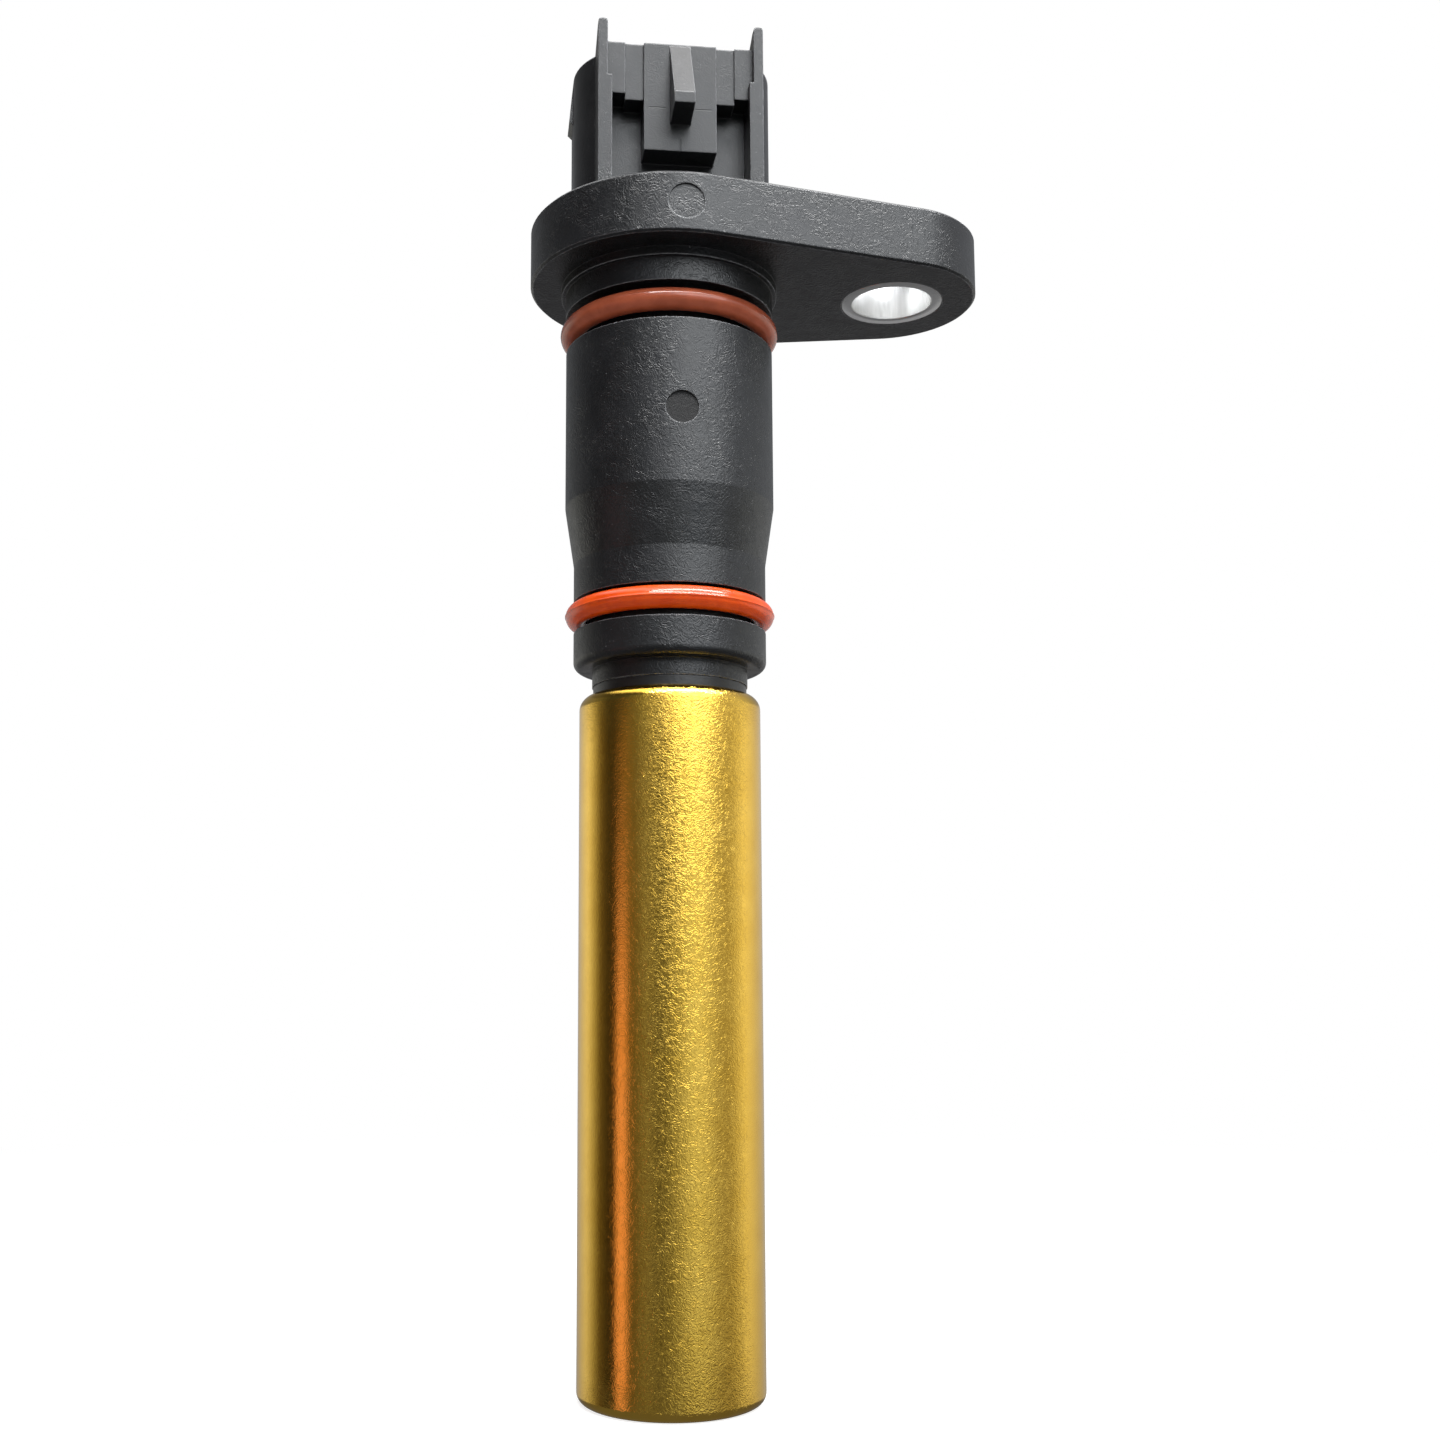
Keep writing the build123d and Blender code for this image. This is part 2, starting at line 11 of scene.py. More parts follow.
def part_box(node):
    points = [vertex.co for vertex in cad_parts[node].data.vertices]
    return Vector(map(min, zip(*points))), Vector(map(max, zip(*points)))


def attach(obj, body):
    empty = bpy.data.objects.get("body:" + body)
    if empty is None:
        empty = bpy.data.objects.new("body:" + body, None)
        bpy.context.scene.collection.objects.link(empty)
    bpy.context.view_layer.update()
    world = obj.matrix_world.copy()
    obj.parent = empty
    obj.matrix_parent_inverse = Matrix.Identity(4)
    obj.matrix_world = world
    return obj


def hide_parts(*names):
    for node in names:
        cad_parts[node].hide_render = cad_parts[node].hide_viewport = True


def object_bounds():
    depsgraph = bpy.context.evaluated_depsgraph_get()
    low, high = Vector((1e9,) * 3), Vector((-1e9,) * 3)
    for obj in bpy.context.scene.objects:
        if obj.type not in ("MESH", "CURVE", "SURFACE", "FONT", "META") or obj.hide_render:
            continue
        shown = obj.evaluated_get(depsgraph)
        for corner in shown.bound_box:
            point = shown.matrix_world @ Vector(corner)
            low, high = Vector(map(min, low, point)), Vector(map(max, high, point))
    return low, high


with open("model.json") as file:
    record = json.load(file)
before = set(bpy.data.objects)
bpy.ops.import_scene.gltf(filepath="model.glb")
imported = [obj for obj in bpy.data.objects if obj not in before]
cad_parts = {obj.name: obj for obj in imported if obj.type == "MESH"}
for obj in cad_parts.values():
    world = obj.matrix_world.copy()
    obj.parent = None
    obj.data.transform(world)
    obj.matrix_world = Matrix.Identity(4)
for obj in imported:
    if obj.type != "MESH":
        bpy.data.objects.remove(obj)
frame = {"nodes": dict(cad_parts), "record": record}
cad_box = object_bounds()
MM = 0.001

# Camera: below the flange and a little to the latch's left, looking up, as in the photograph
CAMERA_AT = Vector((-0.020204, -0.163414, -0.073291))
CAMERA_FORWARD = Vector((0.10954, 0.98568, 0.12824))
CAMERA_UP = Vector((-0.01344, -0.12753, 0.99174))
CLIP_START = 0.01
SENSOR_WIDTH = 36.0
FOCAL_LENGTH = 40.72
# Small shifts that frame the object as the photograph does
SHIFT_X = 0.0486
SHIFT_Y = 0.0417


def add_camera():
    data = bpy.data.cameras.new("camera")
    data.sensor_width = SENSOR_WIDTH
    data.lens = FOCAL_LENGTH
    data.shift_x = SHIFT_X
    data.shift_y = SHIFT_Y
    data.clip_start = CLIP_START
    camera = bpy.data.objects.new("camera", data)
    bpy.context.scene.collection.objects.link(camera)
    back = -CAMERA_FORWARD.normalized()
    right = CAMERA_UP.cross(back).normalized()
    up = back.cross(right)
    turned = Matrix((right, up, back)).transposed().to_4x4()
    camera.matrix_world = Matrix.Translation(CAMERA_AT) @ turned
    bpy.context.scene.camera = camera


def node_size(node):
    """The low and high corner of a CAD node, in mm."""
    low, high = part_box(node)
    return Vector(low) / MM, Vector(high) / MM


class Nodes:
    """Short ways to add and link nodes in one tree."""

    def __init__(self, tree):
        self.tree = tree
        tree.nodes.clear()

    def add(self, kind, **settings):
        node = self.tree.nodes.new(kind)
        for key, value in settings.items():
            setattr(node, key, value)
        return node

    def link(self, source, target):
        self.tree.links.new(source, target)

    def feed(self, socket, value):
        """Links a socket's value, or sets a plain one."""
        if isinstance(value, bpy.types.NodeSocket):
            self.link(value, socket)
        else:
            socket.default_value = value

    def math(self, operation, a, b=0.0, c=0.0):
        node = self.add("ShaderNodeMath", operation=operation)
        for socket, value in zip(node.inputs, (a, b, c)):
            self.feed(socket, value)
        return node.outputs[0]

    def split(self, vector):
        """The X, Y and Z of a vector."""
        node = self.add("ShaderNodeSeparateXYZ")
        self.link(vector, node.inputs[0])
        return node.outputs

    def span(self, value, low, high, to_low=0.0, to_high=1.0, smooth=False):
        """A value between low and high, brought to the range from to_low to to_high."""
        step = "SMOOTHSTEP" if smooth else "LINEAR"
        node = self.add("ShaderNodeMapRange", interpolation_type=step)
        node.inputs["From Min"].default_value = low
        node.inputs["From Max"].default_value = high
        node.inputs["To Min"].default_value = to_low
        node.inputs["To Max"].default_value = to_high
        self.feed(node.inputs["Value"], value)
        return node.outputs["Result"]

    def ramp(self, value, stops):
        node = self.add("ShaderNodeValToRGB")
        elements = node.color_ramp.elements
        elements[0].position, elements[0].color = stops[0][0], (*stops[0][1], 1)
        elements[1].position, elements[1].color = stops[-1][0], (*stops[-1][1], 1)
        for place, color in stops[1:-1]:
            elements.new(place).color = (*color, 1)
        self.feed(node.inputs["Fac"], value)
        return node.outputs["Color"]

    def place(self, scale=(1, 1, 1)):
        """Object coordinates, stretched."""
        mapping = self.add("ShaderNodeMapping")
        mapping.inputs["Scale"].default_value = scale
        self.link(self.add("ShaderNodeTexCoord").outputs["Object"], mapping.inputs["Vector"])
        return mapping.outputs["Vector"]

    def noise(self, vector, size_mm, detail=2.0, roughness=0.5, distortion=0.0):
        """Noise whose blobs are about size_mm across."""
        node = self.add("ShaderNodeTexNoise")
        self.link(vector, node.inputs["Vector"])
        node.inputs["Scale"].default_value = 1 / (size_mm * MM)
        node.inputs["Detail"].default_value = detail
        node.inputs["Roughness"].default_value = roughness
        node.inputs["Distortion"].default_value = distortion
        return node.outputs["Fac"]

    def crinkles(self, vector, size_mm):
        """A dense maze of short curled lines, as on a glass-filled moulding or drawn brass."""
        field = self.noise(vector, size_mm, 1.0, 0.5, 1.1)
        waves = self.math("PINGPONG", self.math("MULTIPLY", field, 5.0), 0.5)
        return self.span(waves, 0.0, 0.5, 1.0, 0.0, smooth=True)

    def mix(self, share, first, second, blend="MIX"):
        node = self.add("ShaderNodeMixRGB", blend_type=blend)
        self.feed(node.inputs["Fac"], share)
        self.feed(node.inputs["Color1"], first)
        self.feed(node.inputs["Color2"], second)
        return node.outputs[0]

    def bump(self, height, distance_mm, strength=1.0, normal=None):
        node = self.add("ShaderNodeBump")
        node.inputs["Strength"].default_value = strength
        node.inputs["Distance"].default_value = distance_mm * MM
        self.link(height, node.inputs["Height"])
        if normal is not None:
            self.link(normal, node.inputs["Normal"])
        return node.outputs["Normal"]

    def soft_edges(self, radius_mm):
        """The surface's normal, with its edges rounded."""
        node = self.add("ShaderNodeBevel", samples=4)
        node.inputs["Radius"].default_value = radius_mm * MM
        return node.outputs["Normal"]

    def shader(self, **inputs):
        """The surface's shader, with each input set by its own name."""
        node = self.add("ShaderNodeBsdfPrincipled")
        for key, value in inputs.items():
            self.feed(node.inputs[key.replace("_", " ")], value)
        self.surface("ShaderNodeOutputMaterial", node.outputs["BSDF"])

    def mix_shaders(self, share, first, second):
        node = self.add("ShaderNodeMixShader")
        self.link(share, node.inputs["Fac"])
        self.link(first, node.inputs[1])
        self.link(second, node.inputs[2])
        return node.outputs[0]

    def surface(self, kind, shader):
        """The output of a material or a world."""
        out = self.add(kind)
        self.link(shader, out.inputs["Surface"])


def material(name, shown):
    made = bpy.data.materials.new(name)
    made.use_nodes = True
    made.diffuse_color = (*shown, 1)
    return made, Nodes(made.node_tree)


# The connector's own tool is smoother than the one for flange and barrel, from this height up
SMOOTHER_FROM = 7 * MM
SMOOTHER_FULL = 9 * MM


def moulded_plastic(name, dark, light, marks=1.0, tool_marks=False):
    """Black glass-filled moulding with fine curled flow marks, and paler edges that are partly
    rubbed wear and partly a painted highlight.
    """
    made, n = material(name, light)
    at = n.place()
    cloud = n.noise(at, 4.0, 3.0)
    color = n.ramp(cloud, [(0.35, dark), (0.65, light)])
    worn = n.span(n.noise(at, 1.2, 3.0), 0.3, 0.7, 0.3, 0.38)
    edges = n.soft_edges(0.2)
    faces = n.add("ShaderNodeNewGeometry").outputs["Normal"]
    likeness = n.add("ShaderNodeVectorMath", operation="DOT_PRODUCT")
    n.link(edges, likeness.inputs[0])
    n.link(faces, likeness.inputs[1])
    edge_wear_and_highlight = n.span(likeness.outputs["Value"], 0.965, 0.84, smooth=True)
    # Inner corners get neither the rubbed wear nor the painted edge highlight
    corners = n.add("ShaderNodeAmbientOcclusion", samples=4, only_local=True)
    corners.inputs["Distance"].default_value = 0.5 * MM
    edge_wear_and_highlight = n.math("MULTIPLY", edge_wear_and_highlight, n.span(corners.outputs["AO"], 0.86, 0.97))
    edge_wear_and_highlight = n.math("MULTIPLY", edge_wear_and_highlight, n.span(n.noise(at, 0.7, 3.0), 0.3, 0.6, 0.4, 1.0))
    # Convex edges painted pale grey: partly rubbed wear, partly a painted highlight
    color = n.mix(edge_wear_and_highlight, color, (0.28, 0.285, 0.3, 1))
    dust = n.math("MULTIPLY", n.span(n.noise(at, 0.22, 1.0), 0.745, 0.79), marks)
    color = n.mix(dust, color, (0.13, 0.13, 0.135, 1))
    grain = n.bump(n.noise(at, 0.16, 2.0), 0.012, 0.35 * marks, edges)
    patches = n.span(n.noise(at, 3.0, 2.0), 0.35, 0.6, 0.45, 1.0)
    rougher = n.span(n.split(at)["Z"], SMOOTHER_FROM, SMOOTHER_FULL, 1.0, 0.35)
    patches = n.math("MULTIPLY", patches, rougher)
    wide_maze = n.math("MULTIPLY", n.crinkles(at, 1.1), patches)
    curls = n.bump(wide_maze, 0.016, 0.9 * marks, grain)
    fine_maze = n.math("MULTIPLY", n.crinkles(at, 0.6), patches)
    normal = n.bump(fine_maze, 0.01, 0.9 * marks, curls)
    if tool_marks:
        disc, lines = tool_mark_masks(n)
        color = n.mix(disc, color, (0.002, 0.002, 0.0024, 1))
        worn = n.math("MAXIMUM", worn, n.math("MULTIPLY", disc, 0.8))
        normal = n.bump(n.math("SUBTRACT", 1.0, lines), 0.06, 1.0, normal)
    n.shader(Base_Color=color, Roughness=worn, Specular_IOR_Level=0.5, IOR=1.55, Normal=normal)
    return made


# Marks of the moulding tool, in mm: a dull ejector disc and thin lines, all on the latch's side
FRONT_Y = -9.0
DISC_Z = -16.35
DISC_RADIUS = 1.6
DISC_EDGE = 0.12
LINE_CORE = 0.03
LINE_EDGE = 0.08
LEVEL_LINE_Z = 15.25
LEVEL_LINE_X = (1.5, 3.2)
UPRIGHT_LINE_Z = (10.7, 12.0)


def tool_mark_masks(n):
    """Where the barrel's dull ejector disc and the latch plate's insert lines are."""
    x, y, z = n.split(n.place((1 / MM, 1 / MM, 1 / MM)))

    def within(value, low, high):
        after = n.math("GREATER_THAN", value, low)
        return n.math("MULTIPLY", after, n.math("LESS_THAN", value, high))

    def thin_line(distance):
        return n.span(distance, LINE_CORE, LINE_EDGE, 1, 0, smooth=True)

    above = n.math("SUBTRACT", z, DISC_Z)
    squares = n.math("ADD", n.math("POWER", x, 2), n.math("POWER", above, 2))
    run = n.math("SQRT", squares)
    front = n.math("LESS_THAN", y, FRONT_Y)
    disc = n.span(run, DISC_RADIUS, DISC_RADIUS + DISC_EDGE, 1, 0)
    disc = n.math("MULTIPLY", disc, front)
    beside = n.math("ABSOLUTE", x)
    level = thin_line(n.math("ABSOLUTE", n.math("SUBTRACT", z, LEVEL_LINE_Z)))
    level = n.math("MULTIPLY", level, within(beside, *LEVEL_LINE_X))
    upright = n.math("MULTIPLY", thin_line(beside), within(z, *UPRIGHT_LINE_Z))
    lines = n.math("MULTIPLY", n.math("MAXIMUM", level, upright), front)
    return disc, lines


# Where the sleeve's more crinkled band faces, as X and Y; a second one is opposite
BAND_FACES = (0.17, -0.98)


def drawn_brass(name):
    """Drawn brass with a fine dimpled grain, crinkled in two broad bands along the can."""
    made, n = material(name, (0.85, 0.53, 0.1))
    at = n.place()
    cloud = n.noise(at, 3.0, 4.0, 0.6)
    tint = n.ramp(cloud, [(0.3, (0.82, 0.5, 0.07)), (0.7, (0.9, 0.57, 0.095))])
    worn = n.span(n.noise(at, 0.8, 3.0), 0.3, 0.7, 0.1, 0.17)
    shrink = 1 / (node_size("sleeve")[1].x * MM)
    x, y, _ = n.split(n.place((shrink, shrink, 1)))
    facing = n.math("MULTIPLY_ADD", x, BAND_FACES[0], n.math("MULTIPLY", y, BAND_FACES[1]))
    band = n.span(n.math("ABSOLUTE", facing), 0.72, 0.9, 0.3, 1.0, smooth=True)
    dimples = n.bump(n.noise(at, 0.3, 2.0, 0.6), 0.01, 0.3)
    maze = n.bump(n.math("MULTIPLY", n.crinkles(at, 0.85), band), 0.012, 0.65, dimples)
    curls = n.bump(n.math("MULTIPLY", n.crinkles(at, 0.5), band), 0.009, 0.7, maze)
    n.shader(Base_Color=tint, Metallic=1.0, Roughness=worn, Normal=curls)
    return made


def seal_rubber(name, low, high):
    """Moulded elastomer with a fairly glossy, faintly uneven skin."""
    made, n = material(name, high)
    at = n.place()
    color = n.ramp(n.noise(at, 1.6, 4.0), [(0.35, low), (0.65, high)])
    worn = n.span(n.noise(at, 0.6, 3.0), 0.3, 0.7, 0.14, 0.2)
    skin = n.bump(n.noise(at, 0.2, 2.0), 0.006, 0.5)
    n.shader(Base_Color=color, Roughness=worn, Specular_IOR_Level=0.5, Normal=skin)
    return made


def plated_metal(name, low, high, roughness=(0.22, 0.36), along=(1, 1, 0.12), scored=0.4):
    """Plated, tinned or sintered metal, with faint lines upwards unless along is even."""
    made, n = material(name, high)
    at = n.place(along)
    color = n.ramp(n.noise(at, 0.5, 3.0), [(0.3, low), (0.7, high)])
    worn = n.span(n.noise(at, 0.25, 2.0), 0.3, 0.7, *roughness)
    lines = n.bump(n.noise(at, 0.15, 2.0), 0.004, scored)
    n.shader(Base_Color=color, Metallic=1.0, Roughness=worn, Normal=lines)
    return made


def plain_solid(name, low, high, size_mm):
    """Ceramic, laminate or compound with a fine grain."""
    made, n = material(name, high)
    at = n.place()
    color = n.ramp(n.noise(at, size_mm, 4.0), [(0.35, low), (0.65, high)])
    worn = n.span(n.noise(at, size_mm * 0.5, 3.0), 0.3, 0.7, 0.4, 0.6)
    grain = n.bump(n.noise(at, size_mm * 0.2, 2.0), 0.008, 0.4)
    n.shader(Base_Color=color, Roughness=worn, Normal=grain)
    return made


HOUSING = moulded_plastic(
    "housing_plastic", (0.004, 0.0043, 0.005), (0.007, 0.0075, 0.0086), tool_marks=True)
CARRIER = moulded_plastic("carrier_plastic", (0.005, 0.005, 0.0055), (0.009, 0.009, 0.0095), 0.35)
COMB = moulded_plastic("comb_plastic", (0.02, 0.02, 0.021), (0.035, 0.035, 0.036), 0.5)
BRASS = drawn_brass("sleeve_brass")
STEEL = plated_metal(
    "bushing_steel", (0.8, 0.8, 0.79), (0.9, 0.9, 0.89), (0.28, 0.36), scored=0.06)
UPPER_RING = seal_rubber("upper_ring_rubber", (0.34, 0.075, 0.034), (0.43, 0.098, 0.045))
LOWER_RING = seal_rubber("lower_ring_rubber", (0.66, 0.058, 0.003), (0.76, 0.082, 0.005))
BLACK_SEAL = seal_rubber("seal_rubber", (0.012, 0.012, 0.012), (0.02, 0.02, 0.02))
TINNED = plated_metal("tinned_bronze", (0.66, 0.65, 0.61), (0.8, 0.79, 0.76))
LAMINATE = plain_solid("board_laminate", (0.012, 0.1, 0.04), (0.02, 0.15, 0.06), 0.8)
CERAMIC = plain_solid("capacitor_ceramic", (0.32, 0.22, 0.13), (0.42, 0.3, 0.18), 0.6)
COMPOUND = plain_solid("chip_compound", (0.014, 0.014, 0.015), (0.024, 0.024, 0.025), 0.3)
MAGNET = plated_metal(
    "sintered_magnet", (0.22, 0.22, 0.23), (0.34, 0.34, 0.35), (0.4, 0.6), (1, 1, 1))
IRON = plated_metal("soft_iron", (0.42, 0.42, 0.42), (0.56, 0.56, 0.55), (0.3, 0.45))

LOOKS = {
    "housing": HOUSING,
    "flange_bushing": STEEL,
    "upper_o_ring": UPPER_RING,
    "lower_o_ring": LOWER_RING,
    "sleeve": BRASS,
    "element_carrier": CARRIER,
    "tray_cover": CARRIER,
    "sleeve_seal": BLACK_SEAL,
    "terminal_comb": COMB,
    "circuit_board": LAMINATE,
    "supply_capacitor": CERAMIC,
    "signal_capacitor": CERAMIC,
    "load_resistor": COMPOUND,
    "tip_pad": BLACK_SEAL,
    "hall_chip": COMPOUND,
    "chip_legs": TINNED,
    "flux_plate": IRON,
    "bias_magnet": MAGNET,
}
for wire in ("supply", "ground", "signal"):
    LOOKS["terminal_" + wire] = TINNED
    LOOKS["lead_" + wire] = TINNED
for node, look in LOOKS.items():
    solid = frame["nodes"][node]
    solid.data.materials.clear()
    solid.data.materials.append(look)

# A smaller radius, in mm, is on the axis
ON_AXIS = 1e-6


def lathe(name, outline, look, node, centre=(0, 0), turns=160):
    """A closed ring or can turned round a vertical axis, which stands for one CAD node."""
    shape = bmesh.new()
    rows = []
    for radius, z in outline:
        if radius < ON_AXIS:
            rows.append([shape.verts.new((centre[0] * MM, centre[1] * MM, z * MM))] * turns)
            continue
        row = []
        for step in range(turns):
            angle = 2 * math.pi * step / turns
            x = centre[0] + radius * math.cos(angle)
            y = centre[1] + radius * math.sin(angle)
            row.append(shape.verts.new((x * MM, y * MM, z * MM)))
        rows.append(row)
    closed = outline[0][0] > ON_AXIS
    pairs = zip(rows, rows[1:] + rows[:1] if closed else rows[1:])
    for below, above in pairs:
        for step in range(turns):
            after = (step + 1) % turns
            ring = [below[step], below[after], above[after], above[step]]
            corners = [v for i, v in enumerate(ring) if v not in ring[:i]]
            if len(corners) > 2:
                shape.faces.new(corners)
    bmesh.ops.recalc_face_normals(shape, faces=shape.faces)
    mesh = bpy.data.meshes.new(name)
    shape.to_mesh(mesh)
    shape.free()
    mesh.shade_smooth()
    piece = bpy.data.objects.new(name, mesh)
    bpy.context.scene.collection.objects.link(piece)
    mesh.materials.append(look)
    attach(piece, "root")
    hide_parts(node)


def arc(middle, radius, start, end, steps):
    """Points on an arc, angles in degrees."""
    found = []
    for step in range(steps + 1):
        angle = math.radians(start + (end - start) * step / steps)
        found.append((middle[0] + radius * math.cos(angle), middle[1] + radius * math.sin(angle)))
    return found


# How much of its height the upper ring's section keeps
PRESSED = 0.88


def add_upper_ring():
    """A round section, pressed up a little, so that the groove shows dark below it."""
    low, high = node_size("upper_o_ring")
    half = (high.z - low.z) / 2
    middle = (high.x - half, (high.z + low.z) / 2)
    round_section = arc(middle, half, 0, 360, 40)[:-1]
    section = [(radius, high.z - PRESSED * (high.z - z)) for radius, z in round_section]
    lathe("upper_o_ring_fine", section, UPPER_RING, "upper_o_ring")


# The lower ring's parting ridge, in mm: how far it stands out, and its half heights
RIDGE = 0.07
RIDGE_CHAMFER = 0.03
RIDGE_FOOT_HALF = 0.07
RIDGE_TOP_HALF = 0.03
# Where the round section stops on both sides of the ridge, in degrees
RIDGE_ANGLE = 8


def add_lower_ring():
    """A round section with the crisp ridge of its mould's parting line."""
    low, high = node_size("lower_o_ring")
    half = (high.z - low.z) / 2
    middle = (high.x - RIDGE - half, (high.z + low.z) / 2)
    tip = middle[0] + half + RIDGE
    foot = tip - RIDGE_CHAMFER
    section = arc(middle, half, RIDGE_ANGLE, 360 - RIDGE_ANGLE, 44)
    section += [(foot, middle[1] - RIDGE_FOOT_HALF), (tip, middle[1] - RIDGE_TOP_HALF)]
    section += [(tip, middle[1] + RIDGE_TOP_HALF), (foot, middle[1] + RIDGE_FOOT_HALF)]
    lathe("lower_o_ring_fine", section, LOWER_RING, "lower_o_ring")


# Sleeve, in mm: its wall and bends, and the radius of its mouth
SLEEVE_WALL = 0.6
MOUTH_RADIUS = 8.02
FOOT_BEND = 1.05
SHOULDER_BEND = 1.5
INNER_FOOT = 1.5
THROAT_SLOPE = 0.6
# The mouth's edge, turned down and in a little
EDGE_DROP = 0.06
EDGE_IN = 0.02
# Rows of points along the straight wall and on the closed end, as shares
WALL_ROWS = (0.1, 0.4, 0.7, 0.93)
END_ROW = 0.4
BEND_STEPS = 14


def add_sleeve():
    """A drawn can with a rounded foot, whose mouth is rolled in over the carrier."""
    low, high = node_size("sleeve")
    outside = high.x
    inside = outside - SLEEVE_WALL
    edge = MOUTH_RADIUS - EDGE_IN
    rolled = math.acos((MOUTH_RADIUS - outside + SHOULDER_BEND) / SHOULDER_BEND)
    shoulder_z = high.z - SHOULDER_BEND * math.sin(rolled)
    foot_middle = (outside - FOOT_BEND, low.z + FOOT_BEND)
    shoulder_middle = (outside - SHOULDER_BEND, shoulder_z)
    outline = [(0, low.z), (outside * END_ROW, low.z)]
    outline += arc(foot_middle, FOOT_BEND, -90, 0, BEND_STEPS)
    outline += [(outside, low.z + part * (shoulder_z - low.z)) for part in WALL_ROWS]
    outline += arc(shoulder_middle, SHOULDER_BEND, 0, math.degrees(rolled), BEND_STEPS)
    outline += [(edge, high.z - EDGE_DROP), (edge, high.z - SLEEVE_WALL)]
    outline += [(inside, high.z - SLEEVE_WALL - THROAT_SLOPE), (inside, low.z + INNER_FOOT)]
    outline += [(outside - INNER_FOOT, low.z + SLEEVE_WALL), (0, low.z + SLEEVE_WALL)]
    lathe("sleeve_fine", outline, BRASS, "sleeve")


# Bushing, in mm: its lips' rounding, and the chamfer of its outer edges
LIP = 0.15
OUTER_CHAMFER = 0.12


def add_bushing():
    """Bright steel with a rounded lip at both mouths."""
    low, high = node_size("flange_bushing")
    outer = (high.x - low.x) / 2
    beside = outer - OUTER_CHAMFER
    axis = ((high.x + low.x) / 2, (high.y + low.y) / 2)
    mounts = {mount["name"]: mount for mount in frame["record"]["mounts"]}
    bore = mounts["mounting_hole"]["dims"]["r_mm"]
    outline = arc((bore + LIP, high.z - LIP), LIP, 180, 90, 8)
    outline += [(beside, high.z), (outer, high.z - OUTER_CHAMFER)]
    outline += [(outer, low.z + OUTER_CHAMFER), (beside, low.z)]
    outline += arc((bore + LIP, low.z + LIP), LIP, -90, -180, 8)
    lathe("flange_bushing_fine", outline, STEEL, "flange_bushing", axis, 96)


# Floor, in metres: its radius and how far it lies below the object
FLOOR_RADIUS = 0.5
FLOOR_DROP = 0.00002
# Between these distances from the axis it turns from shaded to plain white for the camera
WHITE_FROM = 0.1
WHITE_FULL = 0.3
# Between these distances from the axis it opens up for reflections and shadows
OPEN_FROM = 0.007
OPEN_FULL = 0.009


def add_floor():
    """A pale floor with a soft shadow beside the object, plain white farther out."""
    mesh = bpy.data.meshes.new("floor")
    shape = bmesh.new()
    bmesh.ops.create_circle(shape, cap_ends=True, segments=96, radius=FLOOR_RADIUS)
    shape.to_mesh(mesh)
    shape.free()
    floor = bpy.data.objects.new("floor", mesh)
    floor.location.z = cad_box[0][2] - FLOOR_DROP
    bpy.context.scene.collection.objects.link(floor)
    made, n = material("floor_pale", (0.9, 0.9, 0.9))
    ray = n.add("ShaderNodeLightPath").outputs
    seen = n.math("MAXIMUM", ray["Is Camera Ray"], ray["Is Transmission Ray"])
    length = n.add("ShaderNodeVectorMath", operation="LENGTH")
    n.link(n.add("ShaderNodeTexCoord").outputs["Object"], length.inputs[0])
    away = length.outputs["Value"]
    pale = n.add("ShaderNodeBsdfDiffuse")
    pale.inputs["Color"].default_value = (0.35, 0.35, 0.35, 1)
    glow = n.add("ShaderNodeEmission")
    n.link(n.math("MULTIPLY", seen, 0.8), glow.inputs["Strength"])
    near = n.add("ShaderNodeAddShader")
    n.link(pale.outputs[0], near.inputs[0])
    n.link(glow.outputs[0], near.inputs[1])
    white = n.add("ShaderNodeEmission")
    n.link(seen, white.inputs["Strength"])
    far = n.math("MULTIPLY", n.span(away, WHITE_FROM, WHITE_FULL, smooth=True), seen)
    paint = n.mix_shaders(far, near.outputs[0], white.outputs[0])
    # A reflection looks past the floor to the studio behind it, and a shadow passes
    clear = n.add("ShaderNodeBsdfTransparent").outputs[0]
    unseen = n.math("MAXIMUM", ray["Is Glossy Ray"], ray["Is Shadow Ray"])
    beyond = n.math("MULTIPLY", unseen, n.span(away, OPEN_FROM, OPEN_FULL, smooth=True))
    paint = n.mix_shaders(beyond, paint, clear)
    # From below the floor is out of the picture
    behind = n.add("ShaderNodeNewGeometry").outputs["Backfacing"]
    paint = n.mix_shaders(n.math("MULTIPLY", behind, ray["Is Camera Ray"]), paint, clear)
    n.surface("ShaderNodeOutputMaterial", paint)
    mesh.materials.append(made)


# Studio by compass direction, in turns from -X through -Y, +X and +Y. Its levels were first worked
# out from tones read in the photograph and then changed.
# What the sleeve's walls face:
LEVEL = [
    (0.0, (0.033, 0.027, 0.023)),
    (0.03, (0.04, 0.03, 0.025)),
    (0.07, (0.13, 0.09, 0.06)),
    (0.12, (0.11, 0.1, 0.08)),
    (0.155, (0.23, 0.23, 0.22)),
    (0.19, (0.06, 0.06, 0.06)),
    (0.25, (0.25, 0.26, 0.23)),
    (0.325, (0.66, 0.73, 0.8)),
    (0.4, (0.32, 0.32, 0.31)),
    (0.45, (0.28, 0.27, 0.23)),
    (0.515, (0.74, 0.75, 0.7)),
    (0.6, (0.5, 0.5, 0.48)),
    (0.74, (0.3, 0.3, 0.31)),
    (0.8, (0.38, 0.38, 0.37)),
    (0.885, (0.64, 0.64, 0.58)),
    (0.96, (0.1, 0.08, 0.06)),
    (1.0, (0.033, 0.027, 0.023)),
]
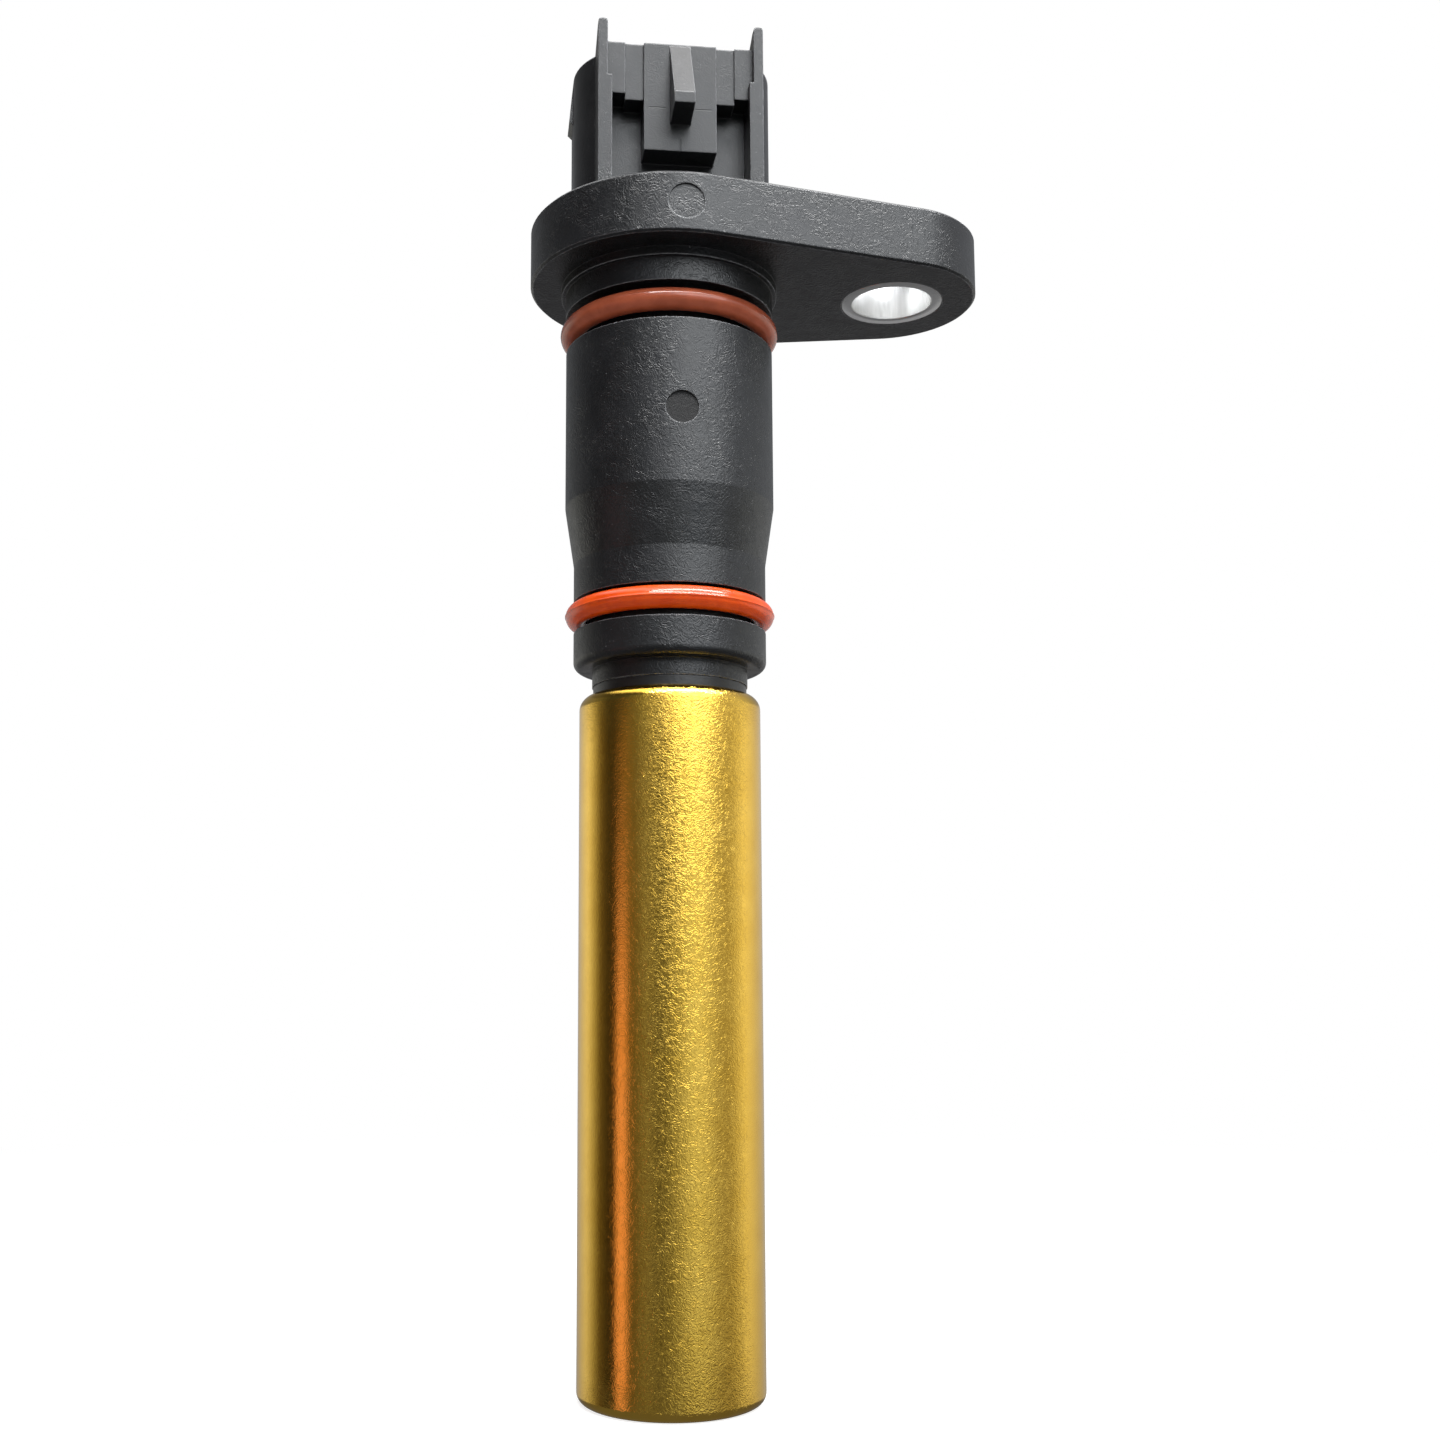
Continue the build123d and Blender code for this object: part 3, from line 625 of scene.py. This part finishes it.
# What the barrel faces, a little higher: dark to the left, bright round the key, dimmer behind
RAISED = [
    (0.0, (0.014, 0.015, 0.017)),
    (0.067, (0.018, 0.019, 0.022)),
    (0.133, (0.06, 0.064, 0.072)),
    (0.194, (0.25, 0.263, 0.287)),
    (0.25, (0.56, 0.58, 0.61)),
    (0.33, (0.54, 0.56, 0.58)),
    (0.39, (0.36, 0.38, 0.4)),
    (0.45, (0.19, 0.198, 0.21)),
    (0.55, (0.13, 0.136, 0.143)),
    (0.65, (0.08, 0.083, 0.087)),
    (0.75, (0.07, 0.073, 0.076)),
    (0.9, (0.05, 0.052, 0.056)),
    (1.0, (0.014, 0.015, 0.017)),
]
# What the connector faces, higher still: dark to the left and grey elsewhere
HIGH = [
    (0.0, (0.01, 0.01, 0.01)),
    (0.12, (0.02, 0.02, 0.02)),
    (0.17, (0.08, 0.08, 0.09)),
    (0.22, (0.15, 0.16, 0.17)),
    (0.38, (0.15, 0.16, 0.17)),
    (0.46, (0.16, 0.16, 0.17)),
    (0.62, (0.1, 0.1, 0.11)),
    (0.74, (0.12, 0.12, 0.12)),
    (0.8, (0.04, 0.04, 0.04)),
    (1.0, (0.01, 0.01, 0.01)),
]
BELOW = (0.035, 0.035, 0.036, 1)
CEILING = (0.6, 0.6, 0.6, 1)
STUDIO_LEVEL = 4.0
# Heights at which one band blends into the next, as the sine of the elevation
LEVEL_FROM = (-0.34, -0.25)
RAISED_FROM = (0.165, 0.255)
HIGH_FROM = (0.44, 0.52)
CEILING_FROM = (0.68, 0.86)
# The walls that the sleeve faces are dimmed, a little less towards their top
DIM_HEIGHTS = (-0.26, 0.1)
DIM_LEVELS = (0.26, 0.38)
# A copper-coloured card to the left, where its sides and its top fade out
COPPER_CARD = (0.24, 0.115, 0.11, 1)
CARD_LEFT = (0.026, 0.046)
CARD_RIGHT = (0.064, 0.092)
CARD_TOP = (-0.06, 0.14)
SOFT_LIGHT = (0.06, 0.06, 0.06, 1)


def add_world():
    """White for the camera, a low even light for diffuse rays and the studio for all others."""
    world = bpy.data.worlds.new("world")
    bpy.context.scene.world = world
    world.use_nodes = True
    n = Nodes(world.node_tree)
    ray = n.add("ShaderNodeLightPath").outputs
    x, y, rise = n.split(n.add("ShaderNodeTexCoord").outputs["Generated"])
    turn = n.math("MULTIPLY_ADD", n.math("ARCTAN2", y, x), 0.5 / math.pi, 0.5)

    def over(below, above, heights):
        return n.mix(n.span(rise, *heights, smooth=True), below, above)

    def background(color, strength=1.0):
        node = n.add("ShaderNodeBackground")
        n.feed(node.inputs["Color"], color)
        node.inputs["Strength"].default_value = strength
        return node.outputs[0]

    dimmer = n.span(rise, *DIM_HEIGHTS, *DIM_LEVELS)
    dimmed = n.mix(1.0, n.ramp(turn, LEVEL), dimmer, blend="MULTIPLY")
    left = n.span(turn, *CARD_LEFT, smooth=True)
    right = n.span(turn, *CARD_RIGHT, 1, 0, smooth=True)
    top = n.span(rise, *CARD_TOP, 1, 0, smooth=True)
    card = n.math("MULTIPLY", n.math("MULTIPLY", left, right), top)
    walls = over(BELOW, n.mix(card, dimmed, COPPER_CARD), LEVEL_FROM)
    walls = over(walls, n.ramp(turn, RAISED), RAISED_FROM)
    walls = over(walls, n.ramp(turn, HIGH), HIGH_FROM)
    walls = over(walls, CEILING, CEILING_FROM)
    studio = background(walls, STUDIO_LEVEL)
    lit = n.mix_shaders(ray["Is Diffuse Ray"], studio, background(SOFT_LIGHT))
    clear = n.math("MAXIMUM", ray["Is Camera Ray"], ray["Is Transmission Ray"])
    n.surface("ShaderNodeOutputWorld", n.mix_shaders(clear, lit, background((1, 1, 1, 1))))


# Lamps, in metres: how far they stand from the point that they are aimed at, and its height
LAMP_DISTANCE = 0.8
AIM_HEIGHT = -0.03


def add_softbox(name, compass, tilt, width, height, radiance, color=(1, 1, 1)):
    """A soft lamp whose compass angle runs from +X to +Y, aimed at the object."""
    data = bpy.data.lights.new(name, "AREA")
    data.shape = "RECTANGLE"
    data.size = width
    data.size_y = height
    data.energy = radiance * math.pi * width * height
    data.color = color
    lamp = bpy.data.objects.new(name, data)
    lamp.visible_camera = False
    turn = math.radians(compass)
    rise = math.radians(tilt)
    flat = math.cos(rise)
    away = Vector((math.cos(turn) * flat, math.sin(turn) * flat, math.sin(rise)))
    lamp.location = Vector((0, 0, AIM_HEIGHT)) + away * LAMP_DISTANCE
    lamp.rotation_euler = away.to_track_quat("Z", "Y").to_euler()
    bpy.context.scene.collection.objects.link(lamp)


add_upper_ring()
add_lower_ring()
add_sleeve()
add_bushing()
add_camera()
add_floor()
add_world()
add_softbox("key", -63, 33, 0.72, 0.55, 2.2, (0.94, 0.975, 1.0))
add_softbox("strip", -68, 60, 1.0, 0.18, 24.0)
add_softbox("top", -95, 84, 0.8, 0.8, 0.5)
scene = bpy.context.scene
scene.view_settings.view_transform = "Standard"
